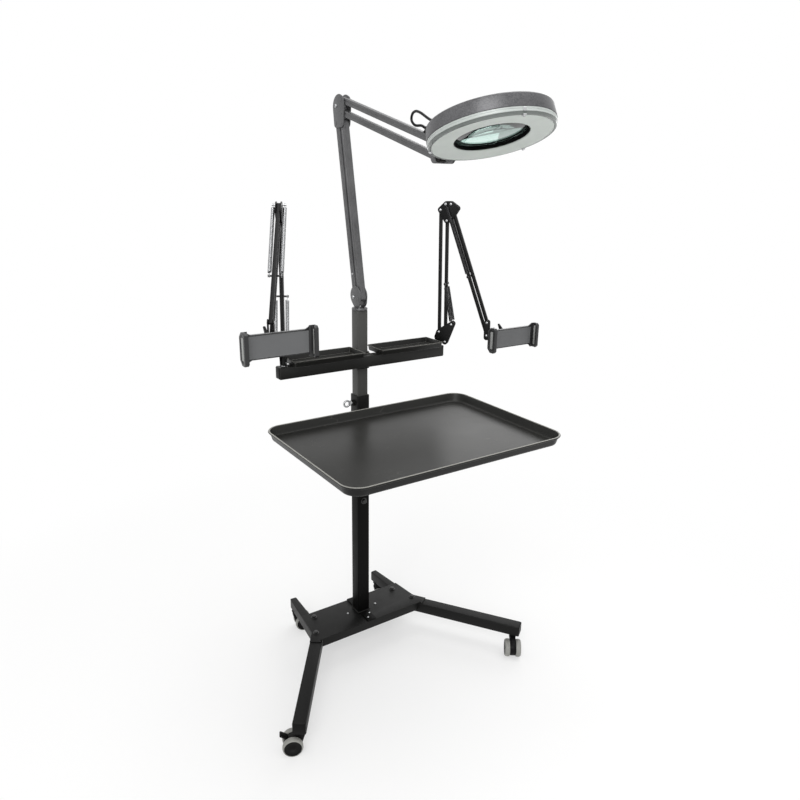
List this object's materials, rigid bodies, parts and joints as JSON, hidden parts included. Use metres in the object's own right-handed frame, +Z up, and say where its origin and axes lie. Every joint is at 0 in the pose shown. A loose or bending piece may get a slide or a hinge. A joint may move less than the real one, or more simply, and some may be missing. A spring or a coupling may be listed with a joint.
{
  "type": "tattoo workstation",
  "caption": "Wheeled stand with a telescoping column, work tray, small accessory trays, sprung tablet holder arms and a magnifier lamp on a jointed arm.",
  "frame": {"origin": "middle of the whole part's footprint, on the floor under the castors", "axes": "+Z up, +X along the tray's long edge, the artist stands at -Y"},
  "size_m": [0.6909, 0.6176, 1.224],
  "materials": {
    "arm_paint": "satin black paint",
    "black_plastic": "moulded black nylon",
    "bright_steel": "bright zinc-plated steel",
    "castor_tyre": "light grey moulded tread",
    "cord": "black flexible lead",
    "diffuser": "frosted translucent plastic",
    "holder_plastic": "satin dark grey moulding",
    "lamp_paint": "dark grey hammered paint",
    "lamp_shell": "dark grey moulded housing",
    "lens": "clear polished magnifier",
    "small_tray": "satin black powder coat on folded sheet",
    "stand_paint": "satin black powder coat",
    "tray": "smooth satin black coat on pressed steel"
  },
  "bodies": {
    "base": {"base_plate": "stand_paint", "left_leg": "stand_paint", "right_leg": "stand_paint", "lower_tube": "stand_paint"},
    "castor_front_left": {"castor_housing_front_left": "black_plastic"},
    "wheels_front_left": {"castor_wheels_front_left": "castor_tyre"},
    "castor_front_right": {"castor_housing_front_right": "black_plastic"},
    "wheels_front_right": {"castor_wheels_front_right": "castor_tyre"},
    "castor_rear_left": {"castor_housing_rear_left": "black_plastic"},
    "wheels_rear_left": {"castor_wheels_rear_left": "castor_tyre"},
    "castor_rear_right": {"castor_housing_rear_right": "black_plastic"},
    "wheels_rear_right": {"castor_wheels_rear_right": "castor_tyre"},
    "brake_pedal": {"brake_pedal": "black_plastic"},
    "upper_column": {"upper_tube": "stand_paint", "crossbar": "stand_paint", "left_small_tray": "small_tray", "right_small_tray": "small_tray"},
    "work_tray": {"tray_bracket": "stand_paint", "tray": "tray"},
    "tray_clamp": {"tray_clamp_screw": "bright_steel"},
    "lamp_socket": {"lamp_socket": "lamp_paint"},
    "lamp_lower_front": {"lamp_lower_front_bar": "lamp_paint"},
    "lamp_lower_rear": {"lamp_lower_rear_bar": "lamp_paint"},
    "lamp_elbow": {"lamp_elbow": "lamp_paint"},
    "lamp_top": {"lamp_top_bar": "lamp_paint"},
    "lamp_under": {"lamp_under_bar": "lamp_paint"},
    "lamp_bracket": {"lamp_head_bracket": "lamp_paint"},
    "lamp_head": {"lamp_head_shell": "lamp_shell", "lamp_diffuser": "diffuser", "lamp_lens": "lens", "lamp_cord": "cord"},
    "lamp_knob": {"lamp_tilt_knob": "black_plastic"},
    "left_arm_base": {"left_arm_base": "arm_paint"},
    "left_lower_front": {"left_lower_front_bar": "arm_paint"},
    "left_lower_rear": {"left_lower_rear_bar": "arm_paint"},
    "left_elbow": {"left_arm_elbow": "arm_paint"},
    "left_upper_top": {"left_upper_top_bar": "arm_paint"},
    "left_upper_under": {"left_upper_under_bar": "arm_paint"},
    "left_arm_head": {"left_arm_head_bracket": "arm_paint"},
    "left_lower_springs": {"left_lower_inner_spring": "bright_steel", "left_lower_outer_spring": "bright_steel"},
    "left_upper_springs": {"left_upper_inner_spring": "bright_steel", "left_upper_outer_spring": "bright_steel"},
    "left_knuckle": {"left_holder_knuckle": "holder_plastic"},
    "left_holder": {"left_tablet_holder": "holder_plastic"},
    "left_jaw": {"left_sliding_jaw": "holder_plastic"},
    "right_arm_base": {"right_arm_base": "arm_paint"},
    "right_lower_front": {"right_lower_front_bar": "arm_paint"},
    "right_lower_rear": {"right_lower_rear_bar": "arm_paint"},
    "right_elbow": {"right_arm_elbow": "arm_paint"},
    "right_upper_top": {"right_upper_top_bar": "arm_paint"},
    "right_upper_under": {"right_upper_under_bar": "arm_paint"},
    "right_arm_head": {"right_arm_head_bracket": "arm_paint"},
    "right_lower_springs": {"right_lower_inner_spring": "bright_steel", "right_lower_outer_spring": "bright_steel"},
    "right_upper_springs": {"right_upper_inner_spring": "bright_steel", "right_upper_outer_spring": "bright_steel"},
    "right_knuckle": {"right_holder_knuckle": "holder_plastic"},
    "right_holder": {"right_tablet_holder": "holder_plastic"},
    "right_jaw": {"right_sliding_jaw": "holder_plastic"}
  },
  "joints": [
    {"name": "castor_front_left_swivel", "type": "hinge", "parent": "base", "child": "castor_front_left", "pos_m": [-0.26775, -0.0635, 0], "axis": [0, 0, 1], "continuous": true},
    {"name": "castor_front_left_roll", "type": "hinge", "parent": "castor_front_left", "child": "wheels_front_left", "pos_m": [-0.28248, -0.05725, 0.02], "axis": [-0.3907, -0.9205, 0], "continuous": true},
    {"name": "castor_front_right_swivel", "type": "hinge", "parent": "base", "child": "castor_front_right", "pos_m": [0.28275, -0.0635, 0], "axis": [0, 0, 1], "continuous": true},
    {"name": "castor_front_right_roll", "type": "hinge", "parent": "castor_front_right", "child": "wheels_front_right", "pos_m": [0.27313, -0.07628, 0.02], "axis": [0.7986, -0.6018, 0], "continuous": true},
    {"name": "castor_rear_left_swivel", "type": "hinge", "parent": "base", "child": "castor_rear_left", "pos_m": [-0.11011, 0.29054, 0], "axis": [0, 0, 1], "continuous": true},
    {"name": "castor_rear_left_roll", "type": "hinge", "parent": "castor_rear_left", "child": "wheels_rear_left", "pos_m": [-0.09452, 0.28694, 0.02], "axis": [0.225, 0.9744, 0], "continuous": true},
    {"name": "castor_rear_right_swivel", "type": "hinge", "parent": "base", "child": "castor_rear_right", "pos_m": [0.12511, 0.29054, 0], "axis": [0, 0, 1], "continuous": true},
    {"name": "castor_rear_right_roll", "type": "hinge", "parent": "castor_rear_right", "child": "wheels_rear_right", "pos_m": [0.13311, 0.27668, 0.02], "axis": [0.866, 0.5, 0], "continuous": true},
    {"name": "brake_pedal_press", "type": "hinge", "parent": "castor_front_left", "child": "brake_pedal", "pos_m": [-0.29382, -0.05244, 0.03576], "axis": [-0.3907, -0.9205, 0], "range_deg": [0, 18]},
    {"name": "column_slide", "type": "slide", "parent": "base", "child": "upper_column", "axis": [0, 0, 1], "range_m": [0, 0.24]},
    {"name": "tray_slide", "type": "slide", "parent": "upper_column", "child": "work_tray", "axis": [0, 0, 1], "range_m": [-0.12, 0.04]},
    {"name": "tray_clamp_turn", "type": "hinge", "parent": "work_tray", "child": "tray_clamp", "pos_m": [0.0075, 0.175, 0.603], "axis": [1, 0, 0], "continuous": true},
    {"name": "lamp_swivel", "type": "hinge", "parent": "upper_column", "child": "lamp_socket", "pos_m": [0.0075, 0.175, 0.804], "axis": [0, 0, 1], "range_deg": [-170, 170]},
    {"name": "lamp_lower_tilt", "type": "hinge", "parent": "lamp_socket", "child": "lamp_lower_front", "pos_m": [0.0075, 0.165, 0.8306], "axis": [1, 0, 0], "range_deg": [-30, 50]},
    {"name": "lamp_lower_rear_follow", "type": "hinge", "parent": "lamp_socket", "child": "lamp_lower_rear", "pos_m": [0.0075, 0.185, 0.8306], "axis": [1, 0, 0], "range_deg": [-30, 50]},
    {"name": "lamp_elbow_level", "type": "hinge", "parent": "lamp_lower_front", "child": "lamp_elbow", "pos_m": [0.0075, 0.23117, 1.17103], "axis": [1, 0, 0], "range_deg": [-50, 30]},
    {"name": "lamp_upper_tilt", "type": "hinge", "parent": "lamp_elbow", "child": "lamp_top", "pos_m": [0.0075, 0.23017, 1.21263], "axis": [1, 0, 0], "range_deg": [-55, 31], "deforming": ["lamp_cord"]},
    {"name": "lamp_under_follow", "type": "hinge", "parent": "lamp_elbow", "child": "lamp_under", "pos_m": [0.0075, 0.23017, 1.18933], "axis": [1, 0, 0], "range_deg": [-55, 31]},
    {"name": "lamp_head_level", "type": "hinge", "parent": "lamp_top", "child": "lamp_bracket", "pos_m": [0.0075, -0.08448, 1.12181], "axis": [1, 0, 0], "range_deg": [-31, 55]},
    {"name": "lamp_head_tilt", "type": "hinge", "parent": "lamp_bracket", "child": "lamp_head", "pos_m": [0.0075, -0.11168, 1.09671], "axis": [1, 0, 0], "range_deg": [-25, 70], "deforming": ["lamp_cord"]},
    {"name": "lamp_knob_turn", "type": "hinge", "parent": "lamp_head", "child": "lamp_knob", "pos_m": [0.0075, -0.11168, 1.09671], "axis": [1, 0, 0], "continuous": true},
    {"name": "left_arm_swivel", "type": "hinge", "parent": "upper_column", "child": "left_arm_base", "pos_m": [-0.1775, 0.1516, 0.7165], "axis": [0, 0, 1], "range_deg": [-152, 32]},
    {"name": "left_lower_tilt", "type": "hinge", "parent": "left_arm_base", "child": "left_lower_front", "pos_m": [-0.179, 0.149, 0.7435], "axis": [0.866, -0.5, 0], "range_deg": [-9, 45]},
    {"name": "left_lower_rear_follow", "type": "hinge", "parent": "left_arm_base", "child": "left_lower_rear", "pos_m": [-0.18625, 0.13645, 0.7215], "axis": [0.866, -0.5, 0], "range_deg": [-9, 45]},
    {"name": "left_elbow_level", "type": "hinge", "parent": "left_lower_front", "child": "left_elbow", "pos_m": [-0.16301, 0.17671, 1.00404], "axis": [0.866, -0.5, 0], "range_deg": [-45, 9]},
    {"name": "left_upper_tilt", "type": "hinge", "parent": "left_elbow", "child": "left_upper_top", "pos_m": [-0.174, 0.15765, 1.01604], "axis": [0.866, -0.5, 0], "range_deg": [-78, 28]},
    {"name": "left_under_follow", "type": "hinge", "parent": "left_elbow", "child": "left_upper_under", "pos_m": [-0.17425, 0.15722, 0.98804], "axis": [0.866, -0.5, 0], "range_deg": [-78, 28]},
    {"name": "left_head_level", "type": "hinge", "parent": "left_upper_top", "child": "left_arm_head", "pos_m": [-0.26842, -0.00588, 0.8337], "axis": [0.866, -0.5, 0], "range_deg": [-28, 78]},
    {"name": "left_lower_springs_follow", "type": "hinge", "parent": "left_arm_base", "child": "left_lower_springs", "pos_m": [-0.1937, 0.12354, 0.7629], "axis": [0.866, -0.5, 0], "range_deg": [-13.14, 65.7], "deforming": ["left_lower_inner_spring", "left_lower_outer_spring"]},
    {"name": "left_upper_springs_follow", "type": "hinge", "parent": "left_elbow", "child": "left_upper_springs", "pos_m": [-0.16925, 0.16588, 1.01604], "axis": [0.866, -0.5, 0], "range_deg": [-68.64, 24.64], "deforming": ["left_upper_inner_spring", "left_upper_outer_spring"]},
    {"name": "left_holder_pan", "type": "hinge", "parent": "left_arm_head", "child": "left_knuckle", "pos_m": [-0.28292, -0.03099, 0.8019], "axis": [0, 0, 1], "range_deg": [-105, 45]},
    {"name": "left_holder_tilt", "type": "hinge", "parent": "left_knuckle", "child": "left_holder", "pos_m": [-0.28292, -0.05299, 0.8109], "axis": [1, 0, 0], "range_deg": [-35, 35]},
    {"name": "left_jaw_slide", "type": "slide", "parent": "left_holder", "child": "left_jaw", "axis": [1, 0, 0], "range_m": [0, 0.05]},
    {"name": "right_arm_swivel", "type": "hinge", "parent": "upper_column", "child": "right_arm_base", "pos_m": [0.197, 0.1516, 0.7165], "axis": [0, 0, 1], "range_deg": [-40, 144]},
    {"name": "right_lower_tilt", "type": "hinge", "parent": "right_arm_base", "child": "right_lower_front", "pos_m": [0.19885, 0.14924, 0.7435], "axis": [0.788, 0.6157, 0], "range_deg": [-10, 45]},
    {"name": "right_lower_rear_follow", "type": "hinge", "parent": "right_arm_base", "child": "right_lower_rear", "pos_m": [0.20777, 0.13781, 0.7215], "axis": [0.788, 0.6157, 0], "range_deg": [-10, 45]},
    {"name": "right_elbow_level", "type": "hinge", "parent": "right_lower_front", "child": "right_elbow", "pos_m": [0.19603, 0.15285, 1.00596], "axis": [0.788, 0.6157, 0], "range_deg": [-45, 10]},
    {"name": "right_upper_tilt", "type": "hinge", "parent": "right_elbow", "child": "right_upper_top", "pos_m": [0.20957, 0.13551, 1.01796], "axis": [0.788, 0.6157, 0], "range_deg": [-105, 3]},
    {"name": "right_under_follow", "type": "hinge", "parent": "right_elbow", "child": "right_upper_under", "pos_m": [0.20988, 0.13512, 0.98996], "axis": [0.788, 0.6157, 0], "range_deg": [-105, 3]},
    {"name": "right_head_level", "type": "hinge", "parent": "right_upper_top", "child": "right_arm_head", "pos_m": [0.26484, 0.06476, 0.77129], "axis": [0.788, 0.6157, 0], "range_deg": [-3, 105]},
    {"name": "right_lower_springs_follow", "type": "hinge", "parent": "right_arm_base", "child": "right_lower_springs", "pos_m": [0.21695, 0.12607, 0.7629], "axis": [0.788, 0.6157, 0], "range_deg": [-14.6, 65.7], "deforming": ["right_lower_inner_spring", "right_lower_outer_spring"]},
    {"name": "right_upper_springs_follow", "type": "hinge", "parent": "right_elbow", "child": "right_upper_springs", "pos_m": [0.20372, 0.143, 1.01796], "axis": [0.788, 0.6157, 0], "range_deg": [-92.4, 2.64], "deforming": ["right_upper_inner_spring", "right_upper_outer_spring"]},
    {"name": "right_holder_pan", "type": "hinge", "parent": "right_arm_head", "child": "right_knuckle", "pos_m": [0.2827, 0.04191, 0.73949], "axis": [0, 0, 1], "range_deg": [-37, 113]},
    {"name": "right_holder_tilt", "type": "hinge", "parent": "right_knuckle", "child": "right_holder", "pos_m": [0.2827, 0.01991, 0.74849], "axis": [1, 0, 0], "range_deg": [-35, 35]},
    {"name": "right_jaw_slide", "type": "slide", "parent": "right_holder", "child": "right_jaw", "axis": [1, 0, 0], "range_m": [0, 0.05]}
  ],
  "couplings": [
    {"joint": "lamp_lower_rear_follow", "follows": "lamp_lower_tilt", "ratio": 1},
    {"joint": "lamp_elbow_level", "follows": "lamp_lower_tilt", "ratio": -1},
    {"joint": "lamp_under_follow", "follows": "lamp_upper_tilt", "ratio": 1},
    {"joint": "lamp_head_level", "follows": "lamp_upper_tilt", "ratio": -1},
    {"joint": "left_lower_rear_follow", "follows": "left_lower_tilt", "ratio": 1},
    {"joint": "left_elbow_level", "follows": "left_lower_tilt", "ratio": -1},
    {"joint": "left_lower_springs_follow", "follows": "left_lower_tilt", "ratio": 1.46},
    {"joint": "left_under_follow", "follows": "left_upper_tilt", "ratio": 1},
    {"joint": "left_head_level", "follows": "left_upper_tilt", "ratio": -1},
    {"joint": "left_upper_springs_follow", "follows": "left_upper_tilt", "ratio": 0.88},
    {"joint": "right_lower_rear_follow", "follows": "right_lower_tilt", "ratio": 1},
    {"joint": "right_elbow_level", "follows": "right_lower_tilt", "ratio": -1},
    {"joint": "right_lower_springs_follow", "follows": "right_lower_tilt", "ratio": 1.46},
    {"joint": "right_under_follow", "follows": "right_upper_tilt", "ratio": 1},
    {"joint": "right_head_level", "follows": "right_upper_tilt", "ratio": -1},
    {"joint": "right_upper_springs_follow", "follows": "right_upper_tilt", "ratio": 0.88}
  ]
}
